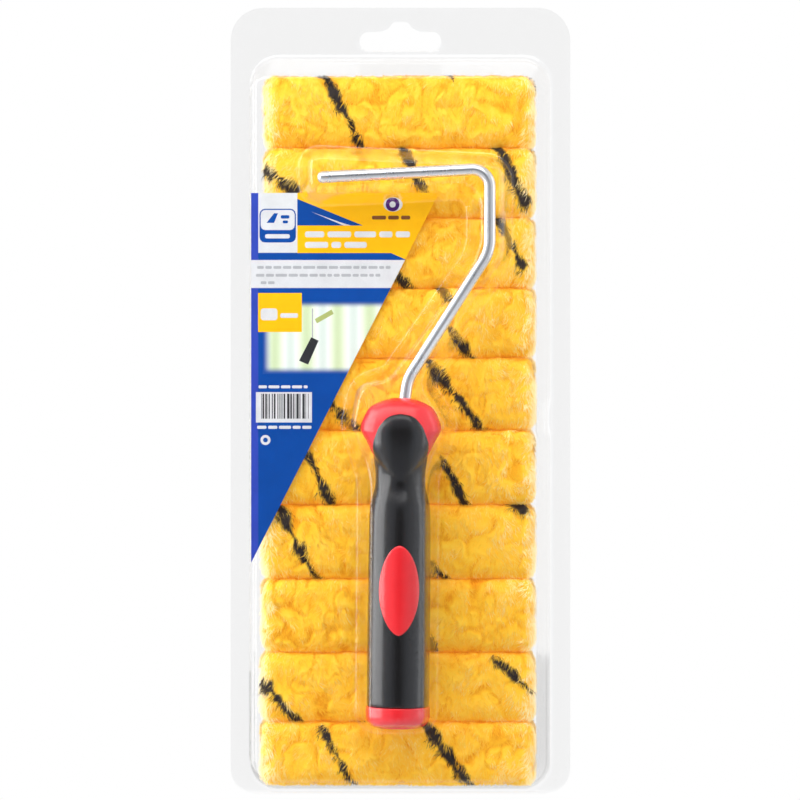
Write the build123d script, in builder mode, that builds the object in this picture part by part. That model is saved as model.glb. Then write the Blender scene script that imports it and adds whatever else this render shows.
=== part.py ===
from build123d import *
import math
import os

os.makedirs("parts", exist_ok=True)

# A clear hanging pack that holds one mini roller frame and ten refills. Sizes are in millimetres.
# +X is to the right, +Y to the back and +Z up. The origin is the centre of the hang slot, in the
# plane where the front cover meets the back shell. A depth is a distance forward of that plane.

# Clear sheet and the flange that both shells share
sheet = 0.4
parting = 0.1                     # half of the gap between the two flanges
pack_width = 146.0
pack_top = 14.4
pack_bottom = -323.1
top_corner = 14.0
bottom_corner = 10.0
fold_radius = 0.6                 # bead along the bottom fold, on which the cover turns
fold_gap = 0.3

# Hang slot
slot_width = 35.2
slot_height = 8.2
slot_bump_radius = 4.9
slot_bump_height = 3.5            # centre of the bump above the slot's own centre

# Bubble of the front cover: its foot on the flange and its flat face
foot_width = 129.0
foot_top = -7.1
foot_bottom = -321.4
foot_corner = 12.0
face_width = 118.0
face_top = -17.3
face_bottom = -314.2
face_corner = 9.0
face_depth = 36.4
face_round = 3.0

# Plug of the back shell, which stands inside the foot of the bubble
plug_gap = 0.8
plug_depth = 4.4
plug_draft = 0.9                  # how far the plug's wall leans in over its depth

# Roller frame: one bent wire in a moulded handle, flat in one plane
frame_depth = 49.0
wire_radius = 2.6
arm_tip = (-34.4, -62.2)
arm_corner = (36.8, -58.6)
leg_end = (36.8, -92.6)
neck_start = (2.9, -145.7)
neck_end = (0.1, -167.4)
wire_end = (-0.9, -261.6)
wire_bends = [7.0, 17.0, 18.0, 60.0]
wire_tip_round = 2.2

# Handle, measured down its own axis from the top of the guard
handle_top = (0.3, -154.2)
handle_lean = 0.64                # degrees, the foot of the handle to the left
guard_profile = [                 # height, half width, half depth
    (0.0, 6.0, 5.2),
    (-0.8, 9.0, 7.6),
    (-3.3, 13.2, 10.2),
    (-8.3, 15.7, 11.9),
    (-12.8, 16.7, 12.4),
    (-17.0, 15.2, 12.0),
    (-20.5, 12.4, 11.2),
    (-23.5, 10.3, 10.3),
]
thumb_rest_thickness = 1.5
thumb_rest_width = 21.4
thumb_rest_top = -5.5
thumb_rest_centre = -18.0
grip_profile = [                  # radius, height
    (10.2, -22.0),
    (10.9, -29.7),
    (12.3, -45.0),
    (12.93, -60.0),
    (12.93, -126.4),
]
core_radius = 8.5
core_overlap = 2.0                # how far the core runs up into the guard
grip_end = -126.4
cap_radius = 13.25
cap_height = 9.1
cap_round = 5.0
spigot_radius = 4.2
spigot_length = 8.0
spigot_gap = 0.5                  # room past the end of the cap's spigot
inlay_width = 16.9
inlay_height = 37.6
inlay_centre = -78.1
inlay_depth = 1.2
inlay_proud = 0.25
grip_reach = 20.0                 # from the handle's axis to clear of its front

# Raised pockets in the cover's face, over the wire and over the handle
pocket_root = 1.0                 # how far a pocket starts below the face's inner side
wire_pocket_half = 9.2
wire_pocket_depth = 54.2
wire_pocket_taper = 14.0
handle_pocket_half = 16.9
handle_pocket_depth = 65.0
handle_pocket_taper = 6.0
handle_pocket_corner = 7.0
handle_pocket_foot = 3.6          # room below the end cap
guard_pocket_half = 23.4
guard_pocket_height = 20.5        # half height of the pocket round the guard
guard_pocket_centre = -10.6

# Insert card: a slanting panel behind the face, folded back along the bubble's left wall
card_thickness = 0.35
card_depth = 35.2
card_left = -57.7
card_right = 16.1
card_top = -67.7
card_foot = -212.9                # where the slanting edge meets the fold
card_flap_depth = 5.0
card_flap_left = -62.7
card_flap_drop = 30.0             # spare length below the fold, for the slanting cut
card_cut_margin = 1.0

# Refills, one above the other behind the frame, as they have settled in the pack
refill_rows = [-33.6, -62.9, -92.4, -121.6, -151.2, -182.4, -213.6, -244.6, -275.4, -302.8]
refill_depth = 19.5
pile_radius = 13.5                # of the pile pressed close, as it is between its neighbours
pile_half_length = 55.5
pile_round = 5.0
tube_radius = 7.75
tube_wall = 1.0
tube_half_length = 51.0
bush_bore = 2.65
bush_radius = 4.2
bush_length = 66.0
bush_rim_radius = 7.5
bush_rim = 1.5
bush_web = 8.0
end_plug_length = 8.0


def at_depth(depth):
    """The plane that faces forward at a depth: its x is +X and its y is +Z."""
    return Plane.XZ.offset(depth)


def save(piece, name):
    piece.part.label = name
    export_step(piece.part, f"parts/{name}.step")


# The two clear shells -------------------------------------------------------------------------

def panel(depth, width, top, bottom, corner, inset):
    with BuildSketch(at_depth(depth)) as outline:
        with Locations((0, (top + bottom) / 2)):
            RectangleRounded(width - 2 * inset, top - bottom - 2 * inset, corner - inset)
    return outline.sketch


def flange(depth, bottom_edge):
    """The flat sheet round the pack, with the hang slot through it."""
    with BuildPart() as plate:
        with BuildSketch(at_depth(depth)) as outline:
            with Locations((0, (pack_top + bottom_edge) / 2)):
                Rectangle(pack_width, pack_top - bottom_edge)
            fillet(outline.vertices().sort_by(Axis.Y)[-2:], top_corner)
            fillet(outline.vertices().sort_by(Axis.Y)[:2], bottom_corner)
            SlotOverall(slot_width, slot_height, mode=Mode.SUBTRACT)
            with Locations((0, slot_bump_height)):
                Circle(slot_bump_radius, mode=Mode.SUBTRACT)
        extrude(amount=sheet)
    return plate.part


def wire_pocket(start, end, inset):
    run = Vector(*end) - Vector(*start)
    middle = (Vector(*end) + Vector(*start)) * 0.5
    width = 2 * (wire_pocket_half - inset)
    with BuildPart() as channel:
        with BuildSketch(at_depth(face_depth - sheet - pocket_root)):
            with Locations((middle.X, middle.Y)):
                SlotCenterToCenter(run.length, width, rotation=math.degrees(math.atan2(run.Y, run.X)))
        rise = wire_pocket_depth - face_depth + sheet + pocket_root - inset
        extrude(amount=rise, taper=wire_pocket_taper)
    return channel.part


def handle_pocket(inset):
    top = guard_pocket_centre
    bottom = grip_end - cap_height - handle_pocket_foot
    base = handle_front.offset(face_depth - sheet - pocket_root - frame_depth)
    rise = handle_pocket_depth - face_depth + sheet + pocket_root - inset
    lean_in = rise * math.tan(math.radians(handle_pocket_taper))
    with BuildPart() as pocket:
        with BuildSketch(base):
            with Locations((0, (top + bottom) / 2)):
                RectangleRounded(2 * (handle_pocket_half - inset), top - bottom - 2 * inset,
                                 handle_pocket_corner)
        extrude(amount=rise, taper=handle_pocket_taper)
        with BuildSketch(base) as foot:
            with Locations((0, guard_pocket_centre)):
                Ellipse(guard_pocket_half - inset, guard_pocket_height - inset)
        with BuildSketch(base.offset(rise)) as ceiling:
            with Locations((0, guard_pocket_centre)):
                Ellipse(guard_pocket_half - inset - lean_in, guard_pocket_height - inset - lean_in)
        loft([foot.sketch, ceiling.sketch])
    return pocket.part


def cover_form(inset):
    """The bubble with its pockets, as a solid: its outside, or its inside when inset by the sheet."""
    with BuildPart() as form:
        loft([
            panel(parting, foot_width, foot_top, foot_bottom, foot_corner, inset),
            panel(face_depth - inset, face_width, face_top, face_bottom, face_corner, inset),
        ])
        fillet(form.faces().sort_by(Axis.Y)[0].edges(), face_round - inset)
        for start, end in zip(wire_route[:3], wire_route[1:4]):
            add(wire_pocket(start, end, inset))
        add(handle_pocket(inset))
    return form.part


wire_route = [arm_tip, arm_corner, leg_end, neck_start, neck_end, wire_end]
lean = math.radians(handle_lean)
handle_origin = Vector(handle_top[0], -frame_depth, handle_top[1])
handle_x = Vector(math.cos(lean), 0, -math.sin(lean))
handle_up = Vector(math.sin(lean), 0, math.cos(lean))
handle = Plane(handle_origin, x_dir=handle_x, z_dir=handle_up)
handle_front = Plane(handle_origin, x_dir=handle_x, z_dir=(0, -1, 0))

with BuildPart() as front_cover:
    add(flange(parting, pack_bottom + fold_radius + fold_gap))
    add(cover_form(0))
    add(cover_form(sheet), mode=Mode.SUBTRACT)
save(front_cover, "front_cover")


def plug_form(inset):
    edge = sheet + plug_gap + inset
    with BuildPart() as form:
        loft([
            panel(-parting - sheet, foot_width, foot_top, foot_bottom, foot_corner, edge),
            panel(plug_depth - inset, foot_width, foot_top, foot_bottom, foot_corner,
                  edge + plug_draft),
        ])
    return form.part


with BuildPart() as back_shell:
    add(flange(-parting - sheet, pack_bottom))
    with BuildSketch(Plane.YZ.offset(-pack_width / 2 + bottom_corner)):
        with Locations((0, pack_bottom)):
            Circle(fold_radius)
    extrude(amount=pack_width - 2 * bottom_corner)
    add(plug_form(0))
    add(plug_form(sheet), mode=Mode.SUBTRACT)
save(back_shell, "back_shell")

# Insert card ------------------------------------------------------------------------------------

with BuildPart() as insert_card:
    with BuildSketch(Plane.XY.offset(card_foot - card_flap_drop)):
        with BuildLine():
            Polyline(
                (card_right, -card_depth),
                (card_left, -card_depth),
                (card_flap_left, -card_flap_depth),
                (card_flap_left + card_thickness, -card_flap_depth),
                (card_left + card_thickness, -card_depth + card_thickness),
                (card_right, -card_depth + card_thickness),
                close=True,
            )
        make_face()
    extrude(amount=card_top - card_foot + card_flap_drop)
    slope = (card_top - card_foot) / (card_right - card_left)
    cut_left = card_flap_left - card_cut_margin
    with BuildSketch(at_depth(0)):
        with BuildLine():
            Polyline(
                (card_right, card_top),
                (cut_left, card_top),
                (cut_left, card_foot - slope * (card_left - cut_left)),
                close=True,
            )
        make_face()
    extrude(amount=face_depth, mode=Mode.INTERSECT)
save(insert_card, "insert_card")

# Roller frame -----------------------------------------------------------------------------------

with BuildPart() as wire_rod:
    with BuildLine(at_depth(frame_depth)) as route:
        FilletPolyline(*wire_route, radius=wire_bends)
    with BuildSketch(Plane(route.line @ 0, z_dir=route.line % 0)):
        Circle(wire_radius)
    sweep()
    fillet(wire_rod.edges().sort_by(Axis.X)[0], wire_tip_round)
save(wire_rod, "wire_rod")


def guard_form(grow):
    with BuildPart() as form:
        for height, half_width, half_depth in guard_profile:
            with BuildSketch(handle.offset(height)):
                Ellipse(half_width + grow, half_depth + grow)
        loft()
    return form.part


def grip_form(grow):
    with BuildPart() as form:
        with BuildSketch(handle_front):
            with BuildLine():
                side = Spline(*[(radius + grow, height) for radius, height in grip_profile[:-1]],
                              tangents=[(0.1, -1), (0, -1)])
                Polyline(side @ 1, (grip_profile[-1][0] + grow, grip_end), (0, grip_end),
                         (0, grip_profile[0][1]), side @ 0)
            make_face()
        revolve(axis=Axis(handle.origin, handle.z_dir))
    return form.part


with BuildPart() as handle_core:
    add(guard_form(0))
    with BuildSketch(handle.offset(grip_end)):
        Circle(core_radius)
    extrude(amount=guard_profile[-1][0] + core_overlap - grip_end)
    with BuildSketch(handle.offset(grip_end)):
        Circle(spigot_radius)
    extrude(amount=spigot_length, mode=Mode.SUBTRACT)
    add(wire_rod.part, mode=Mode.SUBTRACT)
save(handle_core, "handle_core")

with BuildPart() as thumb_rest:
    add(guard_form(thumb_rest_thickness))
    with BuildSketch(handle_front):
        with Locations((0, thumb_rest_centre)):
            Ellipse(thumb_rest_width / 2, thumb_rest_top - thumb_rest_centre)
        with Locations((0, guard_profile[-1][0])):
            Rectangle(thumb_rest_width, 2 * (thumb_rest_centre - guard_profile[-1][0]))
    extrude(amount=grip_reach, mode=Mode.INTERSECT)

with BuildPart() as oval_inlay:
    add(grip_form(inlay_proud))
    add(grip_form(-inlay_depth), mode=Mode.SUBTRACT)
    with BuildSketch(handle_front):
        with Locations((0, inlay_centre)):
            Ellipse(inlay_width / 2, inlay_height / 2)
    extrude(amount=grip_reach, mode=Mode.INTERSECT)
save(oval_inlay, "oval_inlay")

with BuildPart() as grip_overmold:
    add(grip_form(0))
    add(thumb_rest.part)
    add(handle_core.part, mode=Mode.SUBTRACT)
    add(oval_inlay.part, mode=Mode.SUBTRACT)
    add(wire_rod.part, mode=Mode.SUBTRACT)
    with BuildSketch(handle.offset(grip_end)):
        Circle(spigot_radius)
    extrude(amount=spigot_length, mode=Mode.SUBTRACT)
save(grip_overmold, "grip_overmold")

with BuildPart() as end_cap:
    with BuildSketch(handle.offset(grip_end - cap_height)):
        Circle(cap_radius)
    extrude(amount=cap_height)
    fillet(end_cap.edges().sort_by(Axis.Z)[0], cap_round)
    with BuildSketch(handle.offset(grip_end)):
        Circle(spigot_radius)
    extrude(amount=spigot_length - spigot_gap)
save(end_cap, "end_cap")

# Refills ----------------------------------------------------------------------------------------

def turned(height, outline, round_corners=0):
    """A solid of revolution about a refill's own axis, from an outline of (x, radius) points."""
    centre = Vector(0, -refill_depth, height)
    with BuildPart() as solid:
        with BuildSketch(Plane(centre, x_dir=(1, 0, 0), z_dir=(0, -1, 0))) as half:
            with BuildLine():
                Polyline(*outline, close=True)
            make_face()
            if round_corners:
                fillet(half.vertices().sort_by(Axis.Y)[-2:], round_corners)
        revolve(axis=Axis(centre, (1, 0, 0)))
    return solid


def ring_outline(start, end, inner, outer):
    return [(start, inner), (end, inner), (end, outer), (start, outer)]


tube_inner = tube_radius - tube_wall
rim_end = tube_half_length + bush_rim
for number, height in enumerate(refill_rows, 1):
    name = f"refill_{number:02d}"
    pile = turned(height, ring_outline(-pile_half_length, pile_half_length, tube_radius, pile_radius),
                  pile_round)
    save(pile, name + "_pile")
    tube = turned(height, ring_outline(-tube_half_length, tube_half_length, tube_inner, tube_radius))
    save(tube, name + "_tube")
    bush = turned(height, [
        (rim_end - bush_length, bush_bore),
        (rim_end, bush_bore),
        (rim_end, bush_rim_radius),
        (tube_half_length, bush_rim_radius),
        (tube_half_length, tube_inner),
        (tube_half_length - bush_web, tube_inner),
        (tube_half_length - bush_web, bush_radius),
        (rim_end - bush_length, bush_radius),
    ])
    save(bush, name + "_bush")
    plug = turned(height, [
        (-rim_end, 0),
        (-rim_end, bush_rim_radius),
        (-tube_half_length, bush_rim_radius),
        (-tube_half_length, tube_inner),
        (-tube_half_length + end_plug_length, tube_inner),
        (-tube_half_length + end_plug_length, 0),
    ])
    save(plug, name + "_end_plug")
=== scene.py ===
import math
from itertools import product

import bmesh
import bpy
import numpy as np
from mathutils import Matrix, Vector
from mathutils.geometry import delaunay_2d_cdt

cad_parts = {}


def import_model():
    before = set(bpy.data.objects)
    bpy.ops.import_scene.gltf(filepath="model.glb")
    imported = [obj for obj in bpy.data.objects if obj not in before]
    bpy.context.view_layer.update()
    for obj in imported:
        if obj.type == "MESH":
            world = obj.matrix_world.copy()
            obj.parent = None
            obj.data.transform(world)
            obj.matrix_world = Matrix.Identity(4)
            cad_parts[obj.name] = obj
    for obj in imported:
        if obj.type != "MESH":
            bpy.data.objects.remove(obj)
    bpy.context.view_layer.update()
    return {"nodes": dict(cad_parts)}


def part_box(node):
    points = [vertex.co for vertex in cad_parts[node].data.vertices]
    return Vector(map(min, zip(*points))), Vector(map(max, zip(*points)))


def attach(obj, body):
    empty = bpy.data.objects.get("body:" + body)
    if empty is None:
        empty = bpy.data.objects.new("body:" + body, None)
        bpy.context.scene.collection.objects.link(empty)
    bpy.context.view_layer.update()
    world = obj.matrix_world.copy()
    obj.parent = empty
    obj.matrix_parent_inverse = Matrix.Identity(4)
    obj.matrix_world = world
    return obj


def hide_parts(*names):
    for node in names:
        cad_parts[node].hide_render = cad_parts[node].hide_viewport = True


# A mini paint roller set in a clear hanging pack. Lengths here are in millimetres, in the frame of
# the CAD model, and MM turns them into metres when a mesh is made. The pack hangs upright: +X is to
# the right, +Z is up, and a depth is a distance forward, along -Y.

MM = 0.001
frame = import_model()


def node_box(node):
    """A CAD node's lowest and highest corners, in millimetres."""
    low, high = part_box(node)
    return np.array(low) / MM, np.array(high) / MM


# Driving sizes, from the CAD model -----------------------------------------------------------

SHEET = 0.4
PACK_HALF, _, PACK_TOP = node_box("front_cover")[1]
FOLD_RADIUS = 0.6
PACK_BOTTOM = node_box("back_shell")[0][2] + FOLD_RADIUS

FLANGE_DEPTH = 0.1
FOOT = dict(half=64.5, top=-7.1, bottom=-321.4, corner=12.0)
FACE = dict(half=59.9, top=-18.4, bottom=-313.8, corner=8.5, low_corner=12.0, middle=-3.3)
FACE_DEPTH = 36.4
WIRE_CEILING = 54.4
HANDLE_CEILING = 65.0
PLUG_DEPTH = 4.4

FRAME_DEPTH = 49.0
WIRE_RADIUS = 2.5
WIRE_ROUTE = [(-34.4, -62.2), (36.8, -58.6), (36.8, -92.6), (2.9, -145.7), (0.1, -167.4),
              (-0.9, -261.6)]
WIRE_BENDS = [7.0, 17.0, 18.0, 60.0]

HANDLE_TOP = Vector((0.3, -FRAME_DEPTH, -154.2))
HANDLE_LEAN = math.radians(0.64)
GRIP_RADIUS = 12.95

REFILLS = [f"refill_{number:02d}" for number in range(1, 11)]
REFILL_ROWS = [sum(corner[2] for corner in node_box(name + "_tube")) / 2 for name in REFILLS]
REFILL_DEPTH = 19.5
PILE_LEFT, PILE_RIGHT = -57.6, 56.9
PILE_REACH = 14.6                # how far the pressed pile stands out to the front and back
PILE_DOWN = 13.8                 # how far it stands below the lowest refill
PILE_UP = 16.2                   # how far it stands above the highest
TUBE_RADIUS = 7.75
PILE_FULL = 15.0                 # the radius that the pile's outline is drawn at


# Meshes ----------------------------------------------------------------------------------------

def add_object(name, data):
    obj = bpy.data.objects.new(name, data)
    bpy.context.scene.collection.objects.link(obj)
    return obj


def piece(name, vertices, faces, materials, body, replaces=(), smooth=True, indices=None):
    """A mesh piece from vertices in millimetres, riding on a body."""
    mesh = bpy.data.meshes.new(name)
    mesh.from_pydata([tuple(np.array(v) * MM) for v in vertices], [], faces)
    obj = add_object(name, mesh)
    for material in materials:
        mesh.materials.append(material)
    if indices is not None:
        mesh.polygons.foreach_set("material_index", np.array(indices, dtype=np.int32))
    mesh.polygons.foreach_set("use_smooth", np.full(len(mesh.polygons), smooth))
    mesh.update()
    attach(obj, body)
    if replaces:
        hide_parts(*replaces)
    return obj


def face_outward(obj, forward=False):
    """Turns a closed skin's faces outward, or an open sheet's faces to the front."""
    work = bmesh.new()
    work.from_mesh(obj.data)
    bmesh.ops.recalc_face_normals(work, faces=work.faces)
    if forward and sum(f.normal.y * f.calc_area() for f in work.faces) > 0:
        bmesh.ops.reverse_faces(work, faces=work.faces)
    work.to_mesh(obj.data)
    work.free()


def thicken(obj, thickness):
    """Gives a skin a thickness in millimetres, behind its faces."""
    wall = obj.modifiers.new("wall", "SOLIDIFY")
    wall.thickness = thickness * MM
    wall.offset = -1


def full_turn(count):
    return np.linspace(0, 2 * math.pi, count, endpoint=False)


def rounded_path(points, radii, closed, step=1.2, arc_step=0.6):
    """A polyline with each corner turned into an arc: dense points along runs and arcs."""
    count = len(points)
    corners = []
    for i, point in enumerate(points):
        here = np.array(point, float)
        if not closed and i in (0, count - 1):
            corners.append([here])
            continue
        before = np.array(points[i - 1], float) - here
        after = np.array(points[(i + 1) % count], float) - here
        a, b = before / np.linalg.norm(before), after / np.linalg.norm(after)
        half = math.acos(float(np.clip(a @ b, -1, 1))) / 2
        radius = radii[i]
        reach = radius / math.tan(half)
        centre = here + (a + b) / np.linalg.norm(a + b) * radius / math.sin(half)
        start, end = here + a * reach, here + b * reach
        turn = math.pi - 2 * half
        steps = max(3, int(round(turn * radius / arc_step)))
        v0 = start - centre
        sign = 1 if v0[0] * (end - centre)[1] - v0[1] * (end - centre)[0] > 0 else -1
        arc = []
        for k in range(steps + 1):
            angle = sign * turn * k / steps
            c, s = math.cos(angle), math.sin(angle)
            arc.append(centre + np.array([v0[0] * c - v0[1] * s, v0[0] * s + v0[1] * c]))
        corners.append(arc)
    path = []
    for i, arc in enumerate(corners):
        path.extend(arc)
        if i == count - 1 and not closed:
            break
        end = corners[(i + 1) % count][0]
        length = np.linalg.norm(end - arc[-1])
        steps = max(1, int(length / step))
        path.extend(arc[-1] + (end - arc[-1]) * k / steps for k in range(1, steps))
    return np.array(path)


def outward_normals(loop):
    tangent = np.roll(loop, -1, axis=0) - np.roll(loop, 1, axis=0)
    tangent /= np.linalg.norm(tangent, axis=1)[:, None]
    area = np.sum(loop[:, 0] * np.roll(loop[:, 1], -1) - np.roll(loop[:, 0], -1) * loop[:, 1])
    side = 1 if area > 0 else -1
    return np.stack([tangent[:, 1], -tangent[:, 0]], axis=1) * side


class Sheet:
    """A formed sheet, gathered loop by loop: vertices as (x, z, depth), and faces."""

    def __init__(self):
        self.vertices = []
        self.faces = []

    def loop(self, outline, depth):
        start = len(self.vertices)
        depths = np.broadcast_to(depth, len(outline))
        self.vertices.extend((x, z, d) for (x, z), d in zip(outline, depths))
        return list(range(start, len(self.vertices)))

    def strips(self, loops):
        """Faces between each loop and the next, which has as many points."""
        for outer, inner in zip(loops, loops[1:]):
            count = len(outer)
            for i in range(count):
                j = (i + 1) % count
                self.faces.append((outer[i], outer[j], inner[j], inner[i]))

    def fill(self, outer, holes=(), inner_points=()):
        """Flat triangles between an outer loop and its holes, through any extra points."""
        extra = [self.loop([(x, z)], d)[0] for x, z, d in inner_points]
        used = list(outer) + [i for hole in holes for i in hole] + extra
        place = {index: k for k, index in enumerate(used)}
        flat = [Vector(self.vertices[i][:2]) for i in used]
        edges = []
        for ring in [outer, *holes]:
            edges += [(place[ring[k - 1]], place[ring[k]]) for k in range(len(ring))]
        points, _, triangles, origins, *_ = delaunay_2d_cdt(flat, edges, [], 0, 1e-6)
        index = [used[o[0]] if o else None for o in origins]
        rings = [np.array([self.vertices[i][:2] for i in ring]) for ring in [outer, *holes]]
        for triangle in triangles:
            middle = sum((points[k] for k in triangle), Vector((0, 0))) / len(triangle)
            inside = [contains(ring, middle) for ring in rings]
            if inside[0] and not any(inside[1:]) and all(index[k] is not None for k in triangle):
                self.faces.append(tuple(index[k] for k in triangle))

    def build(self, name, body, replaces):
        places = [(x, -d, z) for x, z, d in self.vertices]
        obj = piece(name, places, self.faces, [clear_plastic], body, replaces)
        face_outward(obj, forward=True)
        thicken(obj, SHEET)
        shade = obj.modifiers.new("shade", "WEIGHTED_NORMAL")
        shade.weight = 100


def contains(ring, point):
    """Whether a point is inside a ring: a line from it crosses the ring an odd number of times."""
    x, z = point[0], point[1]
    x1, z1 = ring[:, 0], ring[:, 1]
    x2, z2 = np.roll(x1, -1), np.roll(z1, -1)
    crosses = (z1 > z) != (z2 > z)
    at = x1 + (z - z1) / np.where(z2 == z1, 1, z2 - z1) * (x2 - x1)
    return bool(np.sum(crosses & (x < at)) % 2)


def smoothstep(value, low, high):
    t = np.clip((np.asarray(value, float) - low) / (high - low), 0, 1)
    return t * t * (3 - 2 * t)


LATTICE = 32                     # cells each way before the noise repeats


def lattice_noise(points, size, seed):
    """Smooth noise from -1 to 1 at points in millimetres, on a seeded lattice of that size."""
    table = np.random.default_rng(seed).uniform(-1, 1, (LATTICE, LATTICE, LATTICE))
    scaled_points = points / np.asarray(size, float)
    cell = np.floor(scaled_points).astype(int)
    part = scaled_points - cell
    part = part * part * (3 - 2 * part)
    total = 0
    for corner in product((0, 1), repeat=3):
        x, y, z = (part[:, k] if step else 1 - part[:, k] for k, step in enumerate(corner))
        at = (cell + corner) % LATTICE
        total = total + x * y * z * table[at[:, 0], at[:, 1], at[:, 2]]
    return total


def vector_noise(points, size, seeds):
    return np.stack([lattice_noise(points, size, seed) for seed in seeds], axis=1)


# Materials -------------------------------------------------------------------------------------

def new_material(name):
    material = bpy.data.materials.new(name)
    material.use_nodes = True
    tree = material.node_tree
    return material, tree, tree.nodes["Principled BSDF"]


def feed(tree, made, inputs):
    """Gives inputs of a node, by name or number, a value each or another node's output."""
    for socket, value in inputs.items():
        if isinstance(value, bpy.types.NodeSocket):
            tree.links.new(value, made.inputs[socket])
        else:
            made.inputs[socket].default_value = value


def node(tree, kind, inputs=None, **settings):
    made = tree.nodes.new(kind)
    for name, value in settings.items():
        setattr(made, name, value)
    feed(tree, made, inputs or {})
    return made


def maths(tree, operation, *values):
    inputs = dict(enumerate(values))
    return node(tree, "ShaderNodeMath", inputs, operation=operation).outputs["Value"]


def blend(tree, share, first, second):
    """A colour that turns into a second one, by a share from 0 to 1."""
    inputs = {"Factor": share, "A": first, "B": second}
    return node(tree, "ShaderNodeMix", inputs, data_type="RGBA").outputs["Result"]


def noise(tree, scale, detail=3.0, roughness=0.5, stretch=(1, 1, 1)):
    """Noise in object space, with a scale in cycles per metre, and stretched along any axis."""
    place = node(tree, "ShaderNodeTexCoord").outputs["Object"]
    mapped = node(tree, "ShaderNodeMapping", {"Scale": stretch, "Vector": place})
    made = node(tree, "ShaderNodeTexNoise", {
        "Scale": scale, "Detail": detail, "Roughness": roughness,
        "Vector": mapped.outputs["Vector"]})
    return made.outputs["Fac"]


def ramp(tree, source, stops):
    """A colour by value, from stops of (value, colour)."""
    made = node(tree, "ShaderNodeValToRGB", {"Fac": source})
    elements = made.color_ramp.elements
    elements[0].position, elements[0].color = stops[0]
    elements[1].position, elements[1].color = stops[-1]
    for position, colour in stops[1:-1]:
        elements.new(position).color = colour
    return made.outputs["Color"]


def scaled(tree, source, low, high):
    """A value that ran from 0 to 1, run from low to high."""
    inputs = {"Value": source, "To Min": low, "To Max": high}
    return node(tree, "ShaderNodeMapRange", inputs).outputs["Result"]


def faded(tree, source, start, end, low=0.0, high=1.0):
    """A smooth change from low to high, while a value goes from start to end."""
    inputs = {"Value": source, "From Min": start, "From Max": end, "To Min": low, "To Max": high}
    made = node(tree, "ShaderNodeMapRange", inputs, interpolation_type="SMOOTHSTEP")
    return made.outputs["Result"]


def add_bump(tree, shader, height, strength, distance):
    """Bump on a shader, to a depth in metres. Returns its normal."""
    made = node(tree, "ShaderNodeBump", {
        "Strength": strength, "Distance": distance, "Height": height})
    feed(tree, shader, {"Normal": made.outputs["Normal"]})
    return made.outputs["Normal"]


def grey(value):
    return (value, value, value, 1.0)


def clear_sheet_material():
    """Thin clear plastic: it is seen through, and its gloss grows at grazing angles."""
    material, tree, shader = new_material("clear_plastic")
    tree.nodes.remove(shader)
    rough = scaled(tree, noise(tree, 700.0, detail=1.0), 0.03, 0.09)
    gloss = node(tree, "ShaderNodeBsdfGlossy", {"Color": grey(0.95), "Roughness": rough})
    wavy = add_bump(tree, gloss, noise(tree, 38.0, detail=2.0), 0.3, 0.0007)
    facing = node(tree, "ShaderNodeLayerWeight", {"Blend": 0.5, "Normal": wavy}).outputs["Facing"]
    tint = ramp(tree, facing, [
        (0.0, grey(1.0)), (0.7, (0.995, 0.993, 0.990, 1)), (1.0, (0.975, 0.968, 0.96, 1))])
    see = node(tree, "ShaderNodeBsdfTransparent", {"Color": tint})
    mix = node(tree, "ShaderNodeMixShader", {
        "Fac": scaled(tree, maths(tree, "POWER", facing, 4.0), 0.032, 0.45),
        1: see.outputs["BSDF"], 2: gloss.outputs["BSDF"]})
    feed(tree, tree.nodes["Material Output"], {"Surface": mix.outputs["Shader"]})
    return material


def chrome_material():
    material, tree, shader = new_material("chrome_wire")
    tone = noise(tree, 320.0, detail=4.0, stretch=(1, 1, 0.3))
    colour = ramp(tree, tone, [(0.3, (0.86, 0.88, 0.91, 1)), (0.7, (0.94, 0.95, 0.97, 1))])
    feed(tree, shader, {
        "Metallic": 1.0, "Base Color": colour, "Roughness": scaled(tree, tone, 0.24, 0.32)})
    add_bump(tree, shader, noise(tree, 900.0, detail=2.0), 0.15, 0.0001)
    return material


def moulded_material(name, dark, light, rough, coat=0.0):
    """Moulded plastic or rubber: faint colour drift, uneven gloss and a fine moulded grain."""
    material, tree, shader = new_material(name)
    drift = noise(tree, 60.0, detail=4.0)
    handled = noise(tree, 180.0, detail=5.0, roughness=0.6)
    feed(tree, shader, {
        "Base Color": ramp(tree, drift, [(0.3, dark), (0.7, light)]),
        "Roughness": scaled(tree, handled, *rough),
        "Coat Weight": coat,
        "Coat Roughness": 0.12,
    })
    add_bump(tree, shader, noise(tree, 1500.0, detail=2.0), 0.2, 0.00004)
    return material


def printed_material(name, colour):
    """Ink on coated board: a slight mottle, a satin varnish and the fibres of the board."""
    material, tree, shader = new_material(name)
    mottle = noise(tree, 140.0, detail=5.0)
    change = 0.06
    low = tuple(c * (1 - change) for c in colour) + (1,)
    high = tuple(min(1, c * (1 + change)) for c in colour) + (1,)
    feed(tree, shader, {
        "Base Color": ramp(tree, mottle, [(0.3, low), (0.7, high)]),
        "Roughness": scaled(tree, mottle, 0.32, 0.46),
        "Specular IOR Level": 0.2,
    })
    add_bump(tree, shader, noise(tree, 2200.0, detail=2.0), 0.12, 0.00003)
    return material


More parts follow.
